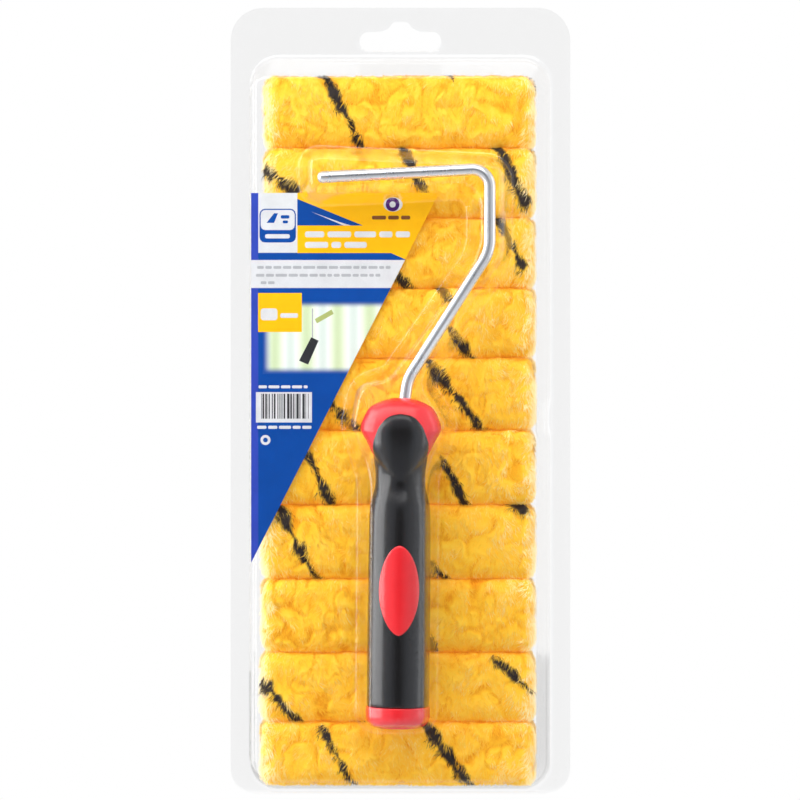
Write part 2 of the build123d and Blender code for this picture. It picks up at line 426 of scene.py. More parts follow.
def pile_material():
    """Plush: colour runs from deep at the roots, a painted shade, to pale at the tips, with dark
    striped fibres.

    Fine fibres pass light on to one another, which a little glow of their own stands in for.
    """
    material, tree, shader = new_material("yellow_pile")
    tone, dark = (node(tree, "ShaderNodeAttribute", attribute_name=name).outputs["Fac"]
                  for name in ("tone", "dark"))
    speck = noise(tree, 900.0)
    shade = maths(tree, "MULTIPLY_ADD", speck, 0.22, tone)
    yellow = ramp(tree, shade, [
        (0.08, (0.66, 0.22, 0.004, 1)),
        (0.38, (0.86, 0.50, 0.026, 1)),
        (0.68, (0.90, 0.62, 0.075, 1)),
        (1.0, (0.94, 0.80, 0.44, 1)),
    ])
    scattered = ramp(tree, shade, [
        (0.1, (0.20, 0.074, 0.0, 1)),
        (0.6, (0.20, 0.100, 0.008, 1)),
        (1.0, (0.32, 0.27, 0.17, 1)),
    ])
    black = ramp(tree, shade, [
        (0.1, (0.012, 0.009, 0.010, 1)),
        (0.9, (0.065, 0.050, 0.045, 1)),
    ])
    feed(tree, shader, {
        "Base Color": blend(tree, dark, yellow, black),
        "Emission Color": blend(tree, dark, scattered, grey(0.0)),
        "Emission Strength": 1.0,
        "Roughness": 0.85,
        "Specular IOR Level": 0.15,
        "Sheen Weight": 0.25,
        "Sheen Roughness": 0.4,
        "Sheen Tint": (1.0, 0.8, 0.35, 1),
    })
    add_bump(tree, shader, speck, 0.3, 0.0002)
    return material


clear_plastic = clear_sheet_material()
chrome = chrome_material()
red_plastic = moulded_material(
    "red_plastic", (0.70, 0.012, 0.018, 1), (0.82, 0.020, 0.028, 1), (0.18, 0.30), coat=0.25)
black_rubber = moulded_material(
    "black_grip", (0.004, 0.0036, 0.004, 1), (0.007, 0.0062, 0.0066, 1), (0.20, 0.28), coat=0.2)
tube_plastic = moulded_material(
    "tube_plastic", (0.70, 0.70, 0.67, 1), (0.80, 0.80, 0.77, 1), (0.35, 0.5))
pile = pile_material()


# The clear shells --------------------------------------------------------------------------------

CORNER_STEPS = 12                # steps round each corner of a rounded box
SIDE_STEPS = (40, 96, 40, 96)    # steps along its top, left side, foot and right side


def rounded_box(half, top, bottom, corner, low_corner=None, shift=0.0, middle=0.0):
    """A rounded rectangle with the same number of points for every size."""
    half, top, bottom = half - shift, top - shift, bottom + shift
    high, low = max(corner - shift, 2.0), max((low_corner or corner) - shift, 2.0)
    arcs = []
    corners = ((half, top), (-half, top), (-half, bottom), (half, bottom))
    for quarter, (cx, cz) in enumerate(corners):
        corner = high if cz == top else low
        x = cx - math.copysign(corner, cx)
        z = cz + (-corner if cz == top else corner)
        arcs.append([])
        for k in range(CORNER_STEPS + 1):
            angle = math.radians(90 * quarter + 90 * k / CORNER_STEPS)
            arcs[-1].append((x + corner * math.cos(angle), z + corner * math.sin(angle)))
    points = []
    for k, (arc, runs) in enumerate(zip(arcs, SIDE_STEPS)):
        (x1, z1), (x2, z2) = arc[-1], arcs[(k + 1) % 4][0]
        points += arc
        points += [(x1 + (x2 - x1) * n / runs, z1 + (z2 - z1) * n / runs) for n in range(1, runs)]
    return np.array(points) + [middle, 0.0]


def flange_outline(bottom):
    corners = [(PACK_HALF, PACK_TOP), (-PACK_HALF, PACK_TOP),
               (-PACK_HALF, bottom), (PACK_HALF, bottom)]
    return rounded_path(corners, [14, 14, 10, 10], True, step=6)


def hang_slot_outline():
    """A slot with round ends and a small round bump in the middle of its upper edge."""
    half, height, bump = 17.6, 4.1, 8.4
    points = [(half, -height), (half, height), (5.6, height), (3.4, bump), (-3.4, bump),
              (-5.6, height), (-half, height), (-half, -height)]
    radii = [4.0, 4.0, 1.2, 2.6, 2.6, 1.2, 4.0, 4.0]
    return rounded_path(points, radii, True, step=3, arc_step=0.5)


POCKET = [                       # corners of the pocket's foot on the face, and the radius of each
    ((-42.3, -48.4), 8), ((46.4, -52.4), 11), ((46.4, -96.6), 20), ((13.4, -147.0), 6),
    ((24.0, -163.6), 9), ((15.4, -187.0), 26), ((14.8, -292.6), 9), ((-18.4, -292.6), 9),
    ((-17.6, -187.0), 26), ((-24.6, -164.6), 10), ((-20.6, -144.6), 13), ((-7.0, -140.8), 5),
    ((28.0, -91.2), 20), ((28.0, -69.8), 5), ((-42.0, -73.0), 9),
]
POCKET_STEPS = [-2.4, -1.4, -0.7, -0.3, 0.0, 0.3, 0.6, 1.0, 1.5, 2.1, 2.7, 3.2, 3.6, 4.0, 4.4, 4.9,
                5.5, 6.2]


POCKET_RISE = (-156, -96)        # heights between which it falls from over the handle to the wire
CROWN_HALF, CROWN_DROP = 14, 2.2         # its top is arched over the handle: half width and drop
NOTCH_TOP, NOTCH_FOOT, NOTCH_EDGE, NOTCH_DEPTH = -154, -169, 1.5, 1.7    # in the right-hand wall


def soft_min(a, b, width):
    """The lower of two values, rounded off where they lie within a width of each other."""
    gap = np.clip(width - np.abs(a - b), 0, None) / width
    return np.minimum(a, b) - gap * gap * width / 4


def pocket_depth(points, inward):
    """How deep the pocket stands at points that far inside its foot: less over the wire."""
    x, z = points[:, 0], points[:, 1]
    over_handle = 1 - smoothstep(z, *POCKET_RISE)
    axis = HANDLE_TOP.x + (z - HANDLE_TOP.z) * math.tan(HANDLE_LEAN)
    crown = CROWN_DROP * over_handle * np.clip(np.abs(x - axis) / CROWN_HALF, 0, 1) ** 2
    ceiling = WIRE_CEILING + (HANDLE_CEILING - WIRE_CEILING) * over_handle - crown
    slope = 4.0 + 1.7 * over_handle
    wall = FACE_DEPTH + inward * slope
    return -soft_min(-soft_min(wall, ceiling, 8.0), np.full(len(x), -FACE_DEPTH), 3.6)


def front_cover():
    sheet = Sheet()
    top = FLANGE_DEPTH + SHEET
    outer = sheet.loop(flange_outline(PACK_BOTTOM + 0.9), top)
    slot = sheet.loop(hang_slot_outline(), top)
    foot = rounded_box(**FOOT)
    face = rounded_box(**FACE)
    across_wall = 8
    profile = rounded_path([(-1.8, top), (0, top), (across_wall, FACE_DEPTH), (12, FACE_DEPTH)],
                           [0, 1.6, 1.7, 0], False, step=4.0, arc_step=0.3)
    rings = []
    for across, depth in profile:
        ring = foot + (face - foot) * across / across_wall
        height = ring[:, 1]
        notch = (smoothstep(height, NOTCH_FOOT, NOTCH_FOOT + NOTCH_EDGE)
                 * (1 - smoothstep(height, NOTCH_TOP - NOTCH_EDGE, NOTCH_TOP)))
        rising = smoothstep(depth, 0.6, 3.0) * (1 - smoothstep(depth, 26, 34))
        ring[:, 0] -= NOTCH_DEPTH * notch * rising * (ring[:, 0] > FOOT["half"] / 2)
        rings.append(sheet.loop(ring, depth))
    sheet.fill(outer, [slot, rings[0]])
    sheet.strips(rings)
    pocket = rounded_path([p for p, _ in POCKET], [r for _, r in POCKET], True, step=1.6)
    inwards = -outward_normals(pocket)
    walls = []
    for inward in POCKET_STEPS:
        ring = pocket + inwards * inward
        on_face = inward == POCKET_STEPS[0]
        depth = FACE_DEPTH if on_face else pocket_depth(ring, np.full(len(ring), inward))
        walls.append(sheet.loop(ring, depth))
    sheet.fill(rings[-1], [walls[0]])
    sheet.strips(walls)
    crown = pocket + inwards * (POCKET_STEPS[-1] + 1.5)
    spots = [(x, z) for x in np.arange(-16, 20, 3.0) for z in np.arange(-286, -150, 3.0)
             if contains(crown, (x, z))]
    depths = pocket_depth(np.array(spots), np.full(len(spots), 20.0))
    sheet.fill(walls[-1], [], [(x, z, d) for (x, z), d in zip(spots, depths)])
    sheet.build("cover_shell", "cover_half", ["front_cover"])


def back_shell():
    """The flat half, with the shallow plug that stands inside the cover's foot."""
    sheet = Sheet()
    outer = sheet.loop(flange_outline(PACK_BOTTOM), -FLANGE_DEPTH)
    slot = sheet.loop(hang_slot_outline(), -FLANGE_DEPTH)
    foot = rounded_box(**FOOT, shift=1.2)
    head = rounded_box(**FOOT, shift=2.2)
    profile = rounded_path(
        [(-1.2, -FLANGE_DEPTH), (0, -FLANGE_DEPTH), (1, PLUG_DEPTH), (5, PLUG_DEPTH)],
        [0, 0.7, 1.2, 0], False, step=3.0, arc_step=0.25)
    rings = [sheet.loop(foot + (head - foot) * across, depth) for across, depth in profile]
    sheet.fill(outer, [slot, rings[0]])
    sheet.strips(rings)
    sheet.fill(rings[-1])
    sheet.build("back_sheet", "back_half", ["back_shell"])


# Lathed and swept parts ----------------------------------------------------------------------

def rings_to_mesh(rings, cap_start=True):
    """Vertices and faces of a closed skin through rings of equal point count."""
    count = len(rings[0])
    vertices = [tuple(p) for ring in rings for p in ring]
    faces = []
    for r in range(len(rings) - 1):
        for k in range(count):
            n = (k + 1) % count
            faces.append((r * count + k, r * count + n, (r + 1) * count + n, (r + 1) * count + k))
    if cap_start:
        faces.append(tuple(range(count))[::-1])
    faces.append(tuple(range((len(rings) - 1) * count, len(rings) * count)))
    return vertices, faces


def lofted(name, rings, material, body, replaces=(), cap_start=True):
    """A piece with a closed skin through rings of equal point count."""
    vertices, faces = rings_to_mesh(rings, cap_start)
    obj = piece(name, vertices, faces, [material], body, replaces)
    face_outward(obj)
    return obj


def fold_bead():
    """The rounded fold that joins the two halves along the foot of the pack."""
    profile = ((-63.0, 0.35), (-62.6, FOLD_RADIUS), (62.6, FOLD_RADIUS), (63.0, 0.35))
    rings = [[(x, radius * math.cos(a), PACK_BOTTOM + radius * math.sin(a)) for a in full_turn(16)]
             for x, radius in profile]
    lofted("fold_bead", rings, clear_plastic, "back_half")


def wire_rod():
    """The bent wire: a round section swept along its route, with a rounded tip."""
    route = rounded_path(WIRE_ROUTE, [0, *WIRE_BENDS, 0], False, step=2.0, arc_step=0.5)
    tangent = np.gradient(route, axis=0)
    tangent /= np.linalg.norm(tangent, axis=1)[:, None]
    rings = []

    def ring(centre, direction, radius):
        side = np.array([-direction[1], direction[0]])
        return [(centre[0] + side[0] * radius * math.cos(a),
                 -FRAME_DEPTH + radius * math.sin(a),
                 centre[1] + side[1] * radius * math.cos(a)) for a in full_turn(40)]

    tip, tip_rings = WIRE_RADIUS * 0.9, 9
    for k in range(tip_rings):
        angle = math.pi / 2 * k / tip_rings
        back = tip * (1 - math.sin(angle + 0.02))
        centre = route[0] + tangent[0] * back
        rings.insert(0, ring(centre, tangent[0], WIRE_RADIUS * math.cos(angle)))
    for point, direction in zip(route, tangent):
        if np.linalg.norm(point - route[0]) > tip + 0.3:
            rings.append(ring(point, direction, WIRE_RADIUS))
    lofted("wire", rings, chrome, "roller_frame", ["wire_rod"])


def handle_point(x, y, z):
    """From the handle's own axes, with z up its axis from the top of the guard, to the pack's."""
    c, s = math.cos(HANDLE_LEAN), math.sin(HANDLE_LEAN)
    return (HANDLE_TOP.x + x * c + z * s, HANDLE_TOP.y + y, HANDLE_TOP.z - x * s + z * c)


def spread(profile, count):
    """A smooth run of points through a short profile, evenly spaced, by a Catmull-Rom curve."""
    p = np.array(profile, float)
    p = np.vstack([2 * p[0] - p[1], p, 2 * p[-1] - p[-2]])
    points = []
    for i in range(1, len(p) - 2):
        for t in np.linspace(0, 1, 24, endpoint=False):
            a, b, c, d = p[i - 1], p[i], p[i + 1], p[i + 2]
            points.append(0.5 * ((2 * b) + (c - a) * t + (2 * a - 5 * b + 4 * c - d) * t * t
                                 + (3 * b - a - 3 * c + d) * t ** 3))
    points.append(p[-2])
    points = np.array(points)
    along = np.concatenate([[0], np.cumsum(np.linalg.norm(np.diff(points, axis=0), axis=1))])
    even = np.linspace(0, along[-1], count)
    return np.stack([np.interp(even, along, points[:, k]) for k in range(points.shape[1])], axis=1)


def lathed(profile, count):
    """Rings of a round skin about the handle's axis, through a profile of (height, radius)."""
    return [[handle_point(r * math.cos(a), r * math.sin(a), h) for a in full_turn(HANDLE_POINTS)]
            for h, r in spread(profile, count)]


HANDLE_POINTS = 96               # points round each ring of the handle
GUARD_POWER = 2.5                # of the curve of its section: 2 would be an oval
GUARD_PROFILE = [                # height, half width, half depth
    (0.9, 2.7, 2.7), (0.5, 5.0, 4.6), (-0.8, 9.0, 7.6), (-3.3, 13.2, 10.2), (-8.3, 15.9, 11.8),
    (-11.6, 16.7, 12.3), (-13.6, 16.3, 12.4), (-17.0, 14.3, 12.0), (-20.5, 12.6, 11.2),
    (-25.0, 10.0, 9.6),
]


def guard():
    """The red flare at the top of the handle, a little flatter in front and behind than an oval."""
    rings = []
    for height, half_width, half_depth in spread(GUARD_PROFILE, 64):
        ring = []
        for a in full_turn(HANDLE_POINTS):
            c, s = math.cos(a), math.sin(a)
            square = (abs(c) ** GUARD_POWER + abs(s) ** GUARD_POWER) ** (-1 / GUARD_POWER)
            ring.append(handle_point(half_width * c * square, half_depth * s * square, height))
        rings.append(ring)
    lofted("guard", rings, red_plastic, "roller_frame", ["handle_core"])


GRIP_PROFILE = [                 # height, radius
    (-15.0, 10.6), (-19.0, 11.3), (-22.5, 11.3), (-27.0, 10.7), (-31.0, 10.3), (-36.0, 10.5),
    (-40.0, 11.5), (-43.5, 12.3), (-49.0, 12.65), (-60.0, 12.8), (-80.0, GRIP_RADIUS),
    (-110.0, GRIP_RADIUS), (-126.3, 12.9),
]
REST_PROFILE = [                 # height, half width, front and edge of the thumb rest
    (-5.7, 0.9, 11.6, 11.0), (-6.6, 5.0, 12.3, 10.6), (-8.8, 8.0, 13.0, 10.4),
    (-12.5, 10.4, 13.5, 10.2), (-17.0, 11.4, 13.3, 8.6), (-21.0, 11.4, 12.8, 6.6),
    (-25.0, 9.6, 12.1, 6.2), (-29.0, 5.6, 11.3, 9.0), (-32.5, 1.2, 10.6, 10.2),
]
REST_BACK = -4.0                 # y of the thumb rest's back, inside the grip
CAP_PROFILE = [                  # height, radius
    (-126.35, 12.2), (-126.4, 13.0), (-126.8, 13.25), (-131.0, 13.28), (-133.2, 12.4),
    (-134.8, 10.4), (-135.4, 7.0), (-135.5, 2.0),
]


def grip():
    """The black grip and its thumb rest, joined by a remesh."""
    vertices, faces = rings_to_mesh(lathed(GRIP_PROFILE, 150))
    rings = []
    for height, half, front, edge in spread(REST_PROFILE, 80):
        ring = [(half * share, -front + (front - edge) * share ** 4, height)
                for share in np.linspace(-1, 1, 33)]
        back = [(x, REST_BACK, z) for x, _, z in reversed(ring)]
        rings.append([handle_point(*p) for p in ring + back])
    rest, rest_faces = rings_to_mesh(rings)
    faces += [tuple(len(vertices) + k for k in face) for face in rest_faces]
    body = piece("grip", vertices + rest, faces, [black_rubber], "roller_frame",
                 ["grip_overmold"])
    face_outward(body)
    remesh = body.modifiers.new("join", "REMESH")
    remesh.mode = "VOXEL"
    remesh.voxel_size = 0.5 * MM
    settle = body.modifiers.new("settle", "SMOOTH")
    settle.factor = 0.5
    settle.iterations = 8
    apply_modifiers(body)
    shape_grip(body)


def apply_modifiers(obj):
    """Bakes an object's modifiers into its mesh, which turns it smooth."""
    graph = bpy.context.evaluated_depsgraph_get()
    mesh = bpy.data.meshes.new_from_object(obj.evaluated_get(graph))
    materials = [slot.material for slot in obj.material_slots]
    obj.modifiers.clear()
    obj.data = mesh
    mesh.materials.clear()
    for material in materials:
        mesh.materials.append(material)
    mesh.polygons.foreach_set("use_smooth", np.full(len(mesh.polygons), True))


def shape_grip(obj):
    """The shallow hollow under the thumb rest's point, and the swell below that."""
    count = len(obj.data.vertices)
    place = np.empty(count * 3)
    obj.data.vertices.foreach_get("co", place)
    place = place.reshape(-1, 3) / MM
    local = place - np.array(HANDLE_TOP)
    height = local[:, 2]
    x = local[:, 0] - height * math.tan(HANDLE_LEAN)
    depth = -local[:, 1]
    for cx, cz, wide, tall, amount in ((-6.6, -33.0, 2.4, 4.0, 0.6), (6.6, -33.0, 2.4, 4.0, 0.6),
                                       (0, -37.0, 4.0, 4.5, 0.3), (0, -46.0, 3.0, 3.5, -0.12)):
        near = np.exp(-((x - cx) / wide) ** 2 - ((height - cz) / tall) ** 2)
        depth -= amount * near * (depth > 3)
    place[:, 1] = -depth + HANDLE_TOP.y
    obj.data.vertices.foreach_set("co", (place * MM).ravel())
    obj.data.update()


def inlay():
    """The red oval let into the grip: round at its top, more pointed at its foot."""
    half_width, half_height, middle = 8.45, 18.8, -78.1
    rings = []
    for share in (1.0, 0.97, 0.93, 0.8, 0.6, 0.4, 0.2, 0.05):
        ring = []
        rise = -0.5 if share == 1.0 else 0.32 * (1 - share ** 5) + 0.06
        for a in full_turn(HANDLE_POINTS):
            c, s = math.cos(a), math.sin(a)
            pinch = 1 - 0.16 * (1 - s) / 2 * (1 - abs(c))
            x = half_width * math.copysign(abs(c) ** 1.12, c) * pinch * share
            y = -math.sqrt(GRIP_RADIUS ** 2 - x * x) - rise
            ring.append(handle_point(x, y, middle + half_height * s * share))
        rings.append(ring)
    obj = lofted("inlay", rings, red_plastic, "roller_frame", ["oval_inlay"],
                 cap_start=False)
    thicken(obj, 0.5)


def end_cap():
    rings = lathed(CAP_PROFILE, 48)
    lofted("handle_cap", rings, red_plastic, "roller_frame", ["end_cap"])


# Refills -----------------------------------------------------------------------------------------

STRIPES = [                      # per refill: (x, degrees above the front) from and to, half width
    [((-36, 92), (-15, -63), 1.35), ((19, 80), (22, 52), 1.1)],
    [((-4, 88), (9, -8), 1.5), ((37, 88), (52, -29), 1.5), ((-57, 24), (-45, -12), 1.8)],
    [((40, 60), (51, -20), 1.2), ((-1, -34), (9, -82), 1.4)],
    [((15, 60), (21, 34), 1.2), ((20, -6), (32, -64), 1.4)],
    [((9, 62), (36, -63), 1.5), ((-30, -12), (-16, -64), 1.7)],
    [((-39, 22), (-26, -80), 1.4), ((17, 16), (31, -84), 1.2)],
    [((-51, 52), (-31, -86), 1.7), ((13, -32), (26, -88), 1.0)],
    [((12, -28), (18, -88), 0.9)],
    [((-58, 16), (-35, -88), 1.8), ((39, 48), (56, -5), 1.3)],
    [((-33, 44), (-16, -74), 1.3), ((10, 52), (33, -68), 1.6)],
]


def pile_reach(row):
    """How far the pile stands above and below its axis, to fill the room by its neighbours."""
    gaps = [a - b for a, b in zip(REFILL_ROWS, REFILL_ROWS[1:])]
    above = PILE_UP if row == 0 else gaps[row - 1] / 2 + 0.9
    below = PILE_DOWN if row == len(gaps) else gaps[row] / 2 + 0.9
    return above, below


def pile_profile(left):
    """The outline of the pile ring, in (x, radius) with outward normals, closed round the bore."""
    corner, inner = 5.5, TUBE_RADIUS + 0.15
    outline = rounded_path(
        [(left, inner), (left, PILE_FULL), (PILE_RIGHT, PILE_FULL), (PILE_RIGHT, inner)],
        [1.2, corner, corner, 1.2], True, step=0.62, arc_step=0.6)
    return outline, outward_normals(outline)


def pressed(angle, above, below):
    """The pile's section, squared by its neighbours: its radius, and its normal to front and up."""
    power = 4.2
    c, s = np.cos(angle), np.sin(angle)
    tall = np.where(s > 0, above, below)
    radius = ((np.abs(c) / PILE_REACH) ** power + (np.abs(s) / tall) ** power) ** (-1 / power)
    front = np.sign(c) * np.abs(c) ** (power - 1) / PILE_REACH ** power
    up = np.sign(s) * np.abs(s) ** (power - 1) / tall ** power
    size = np.hypot(front, up)
    return radius, front / size, up / size


def stripe_mask(x, angle, strokes, wander):
    """How far places round a refill lie from its ragged strokes, in half widths of the stroke."""
    best = np.full(len(x), 9.0)
    for (x1, a1), (x2, a2), half in strokes:
        start = np.array([x1, math.radians(a1) * PILE_FULL])
        run = np.array([x2, math.radians(a2) * PILE_FULL]) - start
        length = np.linalg.norm(run)
        run /= length
        for lap in (-2 * math.pi * PILE_FULL, 0, 2 * math.pi * PILE_FULL):
            dx, da = x - start[0], angle * PILE_FULL + lap - start[1]
            along = np.clip(dx * run[0] + da * run[1], 0, length)
            off = np.hypot(dx - along * run[0], da - along * run[1])
            spots = np.stack([along, np.full(len(x), a1), np.full(len(x), x1)], axis=1)
            blob = np.clip(1.0 + 0.85 * lattice_noise(spots, 3.6, 21), 0.2, 1.7)
            best = np.minimum(best, off / (half * blob))
    return best + wander


def plush_object(name, places, quads, triangles, values, facing):
    """A smooth mesh with values at its points, and with normals where facing isn't zero."""
    mesh = bpy.data.meshes.new(name)
    loops = np.concatenate([quads.ravel(), triangles.ravel()])
    sizes = np.concatenate([np.full(len(quads), 4), np.full(len(triangles), 3)])
    starts = np.concatenate([[0], np.cumsum(sizes)[:-1]])
    mesh.vertices.add(len(places))
    mesh.vertices.foreach_set("co", (places * MM).ravel())
    mesh.loops.add(len(loops))
    mesh.loops.foreach_set("vertex_index", loops.astype(np.int32))
    mesh.polygons.add(len(sizes))
    mesh.polygons.foreach_set("loop_start", starts.astype(np.int32))
    mesh.polygons.foreach_set("use_smooth", np.full(len(sizes), True))
    mesh.update(calc_edges=True)
    for label, value in values.items():
        layer = mesh.attributes.new(label, "FLOAT", "POINT")
        layer.data.foreach_set("value", value.astype(np.float32))
    mesh.normals_split_custom_set_from_vertices(facing)
    mesh.materials.append(pile)
    return add_object(name, mesh)


def refill_pile(row):
    """One plush cover: a lumpy ring of pile with many short fibres that lie over one another."""
    rng = np.random.default_rng(100 + row)
    name = REFILLS[row]
    above, below = pile_reach(row)
    left = PILE_LEFT - 0.16 * row
    outline, normals = pile_profile(left)
    centre = np.array([0, -REFILL_DEPTH, REFILL_ROWS[row]])
    strokes = list(STRIPES[row])
    for _ in range(4):
        x1, a1 = rng.uniform(-50, 40), rng.uniform(110, 230)
        strokes.append(((x1, a1), (x1 + rng.uniform(12, 22), a1 - rng.uniform(50, 80)),
                        rng.uniform(1.2, 2.2)))
    offset = rng.uniform(0, 60, 3)

    def surface(flat, lean, angle):
        """Places on the skin, outward normals and directions round the axis, from the outline."""
        reach, front, up = pressed(angle, above, below)
        stretch = (reach - TUBE_RADIUS) / (PILE_FULL - TUBE_RADIUS)
        radius = TUBE_RADIUS + (flat[:, 1] - TUBE_RADIUS) * stretch
        spot = np.stack([flat[:, 0], -radius * np.cos(angle), radius * np.sin(angle)], axis=1)
        normal = np.stack([lean[:, 0], -lean[:, 1] * front, lean[:, 1] * up], axis=1)
        around = np.stack([np.zeros_like(angle), up, front], axis=1)
        return spot, normal, around

    def relief(spot):
        """The skin's height, and the lumps, clumps, tufts and creases that it is made of."""
        spot = spot + offset + 2.6 * vector_noise(spot + offset, 5.5, (31, 32, 33))
        lump = lattice_noise(spot, 9.0, 11)
        clump = lattice_noise(spot, (3.0, 4.5, 4.5), 12)
        tuft = lattice_noise(spot, (1.3, 2.8, 2.8), 13)
        crease = np.clip(1 - np.abs(lattice_noise(spot, (6.0, 7.5, 7.5), 14)) * 6, 0, 1)
        height = 0.35 * lump + 0.25 * clump + 0.16 * tuft - 0.50 * crease ** 2
        return height, lump, clump, tuft, crease

    # The skin: the outline turned round the axis, and raised by its relief.
    turns = 120
    count = len(outline)
    angles = np.linspace(-math.pi, math.pi, turns, endpoint=False)
    grid_angle = np.repeat(angles, count)
    ring = np.tile(outline, (turns, 1))
    spot, normal, _ = surface(ring, np.tile(normals, (turns, 1)), grid_angle)
    height, lump, clump, tuft, crease = relief(spot)
    skin = ring[:, 1] > TUBE_RADIUS + 0.6
    base = spot + normal * np.where(skin, height - 0.45, 0.0)[:, None]
    wander = 0.5 * lattice_noise(spot + offset, (1.5, 1.5, 1.5), 15)
    base_dark = 1 - smoothstep(stripe_mask(ring[:, 0], grid_angle, strokes, wander), 0.8, 1.5)
    base_end = np.minimum(ring[:, 0] - left, PILE_RIGHT - ring[:, 0])
    # The skin's tone is set lower than the fibres over it and lower again in its creases, both
    # painted shade. Within 7 mm of the roll's ends it is raised, a painted glow of the bright light
    # behind them. It also rises and falls with the clumps and tufts.
    base_tone = np.clip(0.32 + 0.12 * clump + 0.10 * tuft - 0.22 * crease
                        + 0.4 * (1 - smoothstep(base_end, 0, 7)), 0, 1)
    grid = np.arange(turns * count).reshape(turns, count)
    ahead, right = np.roll(grid, -1, axis=0), np.roll(grid, -1, axis=1)
    both = np.roll(ahead, -1, axis=1)
    quads = np.stack([grid, right, both, ahead], axis=2).reshape(-1, 4)

    # The fibres: each starts under the skin, lies along it in two straight halves, and tapers.
    fibres = 30000
    step = np.linalg.norm(np.roll(outline, -1, axis=0) - outline, axis=1)
    weight = step * outline[:, 1] * (outline[:, 1] > TUBE_RADIUS + 0.8)
    pick = rng.choice(count, fibres, p=weight / weight.sum())
    slide = rng.uniform(0, 1, fibres)[:, None]
    after = (pick + 1) % count
    flat = outline[pick] * (1 - slide) + outline[after] * slide
    lean = normals[pick] * (1 - slide) + normals[after] * slide
    angle = rng.uniform(-math.pi, math.pi, fibres)
    root, out, around = surface(flat, lean, angle)
    across = np.cross(out, around)
    height, lump, clump, tuft, crease = relief(root)
    swirl = 0.9 * lattice_noise(root + offset, (7, 7, 7), 16) + 0.5 * lattice_noise(
        root + offset, (2.5, 3.5, 3.5), 17) + rng.normal(0, 0.28, fibres)
    lay = -around * np.cos(swirl)[:, None] + across * np.sin(swirl)[:, None]
    to_end = np.minimum(flat[:, 0] - left, PILE_RIGHT - flat[:, 0])
    at_end = 1 - smoothstep(to_end, 0.5, 6)
    lift = np.clip(0.22 + 0.14 * clump + rng.normal(0, 0.08, fibres), 0.05, 0.8) + 0.4 * at_end
    length = rng.uniform(2.0, 4.4, fibres)
    root = root + out * (height - 0.8)[:, None]
    half = rng.uniform(0.10, 0.18, fibres)

    def half_way(start, rise):
        """Where a fibre gets to in half its length, at an angle above the skin."""
        heading = lay * np.cos(rise)[:, None] + out * np.sin(rise)[:, None]
        return start + heading * (length * 0.5)[:, None]

    middle = half_way(root, lift)
    tip = half_way(middle, lift * 0.35 - 0.04)
    stray = 0.3 + 0.45 * rng.random(fibres) ** 2
    for point in (middle, tip):
        far = np.hypot(point[:, 1], point[:, 2])
        limit = pressed(np.arctan2(point[:, 2], -point[:, 1]), above, below)[0] + stray
        pull = np.minimum(1, limit / np.maximum(far, 1e-6))
        point[:, 1:] *= pull[:, None]
        point[:, 0] = np.clip(point[:, 0], left - 1.4, PILE_RIGHT + 0.4)
    side = np.cross(lay, out)
    side /= np.linalg.norm(side, axis=1)[:, None]
    side *= half[:, None]
    strands = np.stack(
        [root - side, root + side, middle + side * 0.8, middle - side * 0.8, tip], axis=1)
    strand_wander = (0.55 * lattice_noise(root + offset, (1.5, 1.5, 1.5), 15)
                     + rng.normal(0, 0.22, fibres))
    strand_mask = stripe_mask(flat[:, 0], angle, strokes, strand_wander)
    strand_dark = 1 - smoothstep(strand_mask, 0.85, 1.45)
    # Fibre tone: paler towards the roll's ends, a painted glow of the bright light behind them, and
    # darker in the creases, a painted shade. It also rises and falls with the clumps and lumps.
    pale = 0.10 * (1 - smoothstep(to_end, 5, 30)) + 0.45 * (1 - smoothstep(to_end, 0, 8))
    strand_tone = np.clip(0.43 + 0.13 * clump + 0.10 * lump - 0.30 * crease + pale
                          + rng.normal(0, 0.07, fibres), 0, 1)
    tilt = vector_noise(root + offset, 3.2, (18, 19, 20))
    shading = out + 0.30 * lay + 0.22 * tilt + rng.normal(0, 0.10, (fibres, 3))
    shading[:, 1] -= 0.6 * (1 - smoothstep(to_end, 0, 8))
    shading /= np.linalg.norm(shading, axis=1)[:, None]

    points = strands.shape[1]
    first = len(base) + np.arange(fibres)[:, None] * points
    # Along each fibre: darker at its root, a painted shade under the fibres lying over it, and a
    # little paler at its tip.
    along = [-0.2, -0.2, 0, 0, 0.08]
    tone = np.concatenate([base_tone, (strand_tone[:, None] + along).ravel()])
    obj = plush_object(
        name + "_plush", np.concatenate([base, strands.reshape(-1, 3)]) + centre,
        np.concatenate([quads, first + [0, 1, 2, 3]]), first + [3, 2, 4],
        {"tone": np.clip(tone, 0, 1),
         "dark": np.concatenate([base_dark, np.repeat(strand_dark, points)])},
        np.concatenate([np.zeros_like(base), np.repeat(shading, points, axis=0)]))
    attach(obj, name)
    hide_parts(name + "_pile")


def refills():
    for row, name in enumerate(REFILLS):
        refill_pile(row)
        for part in ("tube", "bush", "end_plug"):
            inner = frame["nodes"][f"{name}_{part}"]
            inner.data.materials.clear()
            inner.data.materials.append(tube_plastic)


# Insert card ---------------------------------------------------------------------------------

CARD_DEPTH = 35.6
CARD_THICKNESS = 0.35
CARD_TOP = -67.7
CARD_LEFT = -62.4
CARD_RIGHT = 16.1
CARD_SLOPE = 1.968
INKS = {
    "blue": (0.0, 0.062, 0.33), "orange": (1.0, 0.50, 0.002), "paper": (0.68, 0.685, 0.70),
    "silver": (0.68, 0.69, 0.70), "grey": (0.42, 0.43, 0.45), "black": (0.03, 0.03, 0.035),
    "purple": (0.07, 0.015, 0.16), "caption": (0.20, 0.07, 0.02), "olive": (0.42, 0.48, 0.16),
    # edge: the blue of the card's left strip, made lighter and purpler as a painted reflection of
    # the cover's rounded edge in front of it.
    "edge": (0.030, 0.062, 0.43),
}


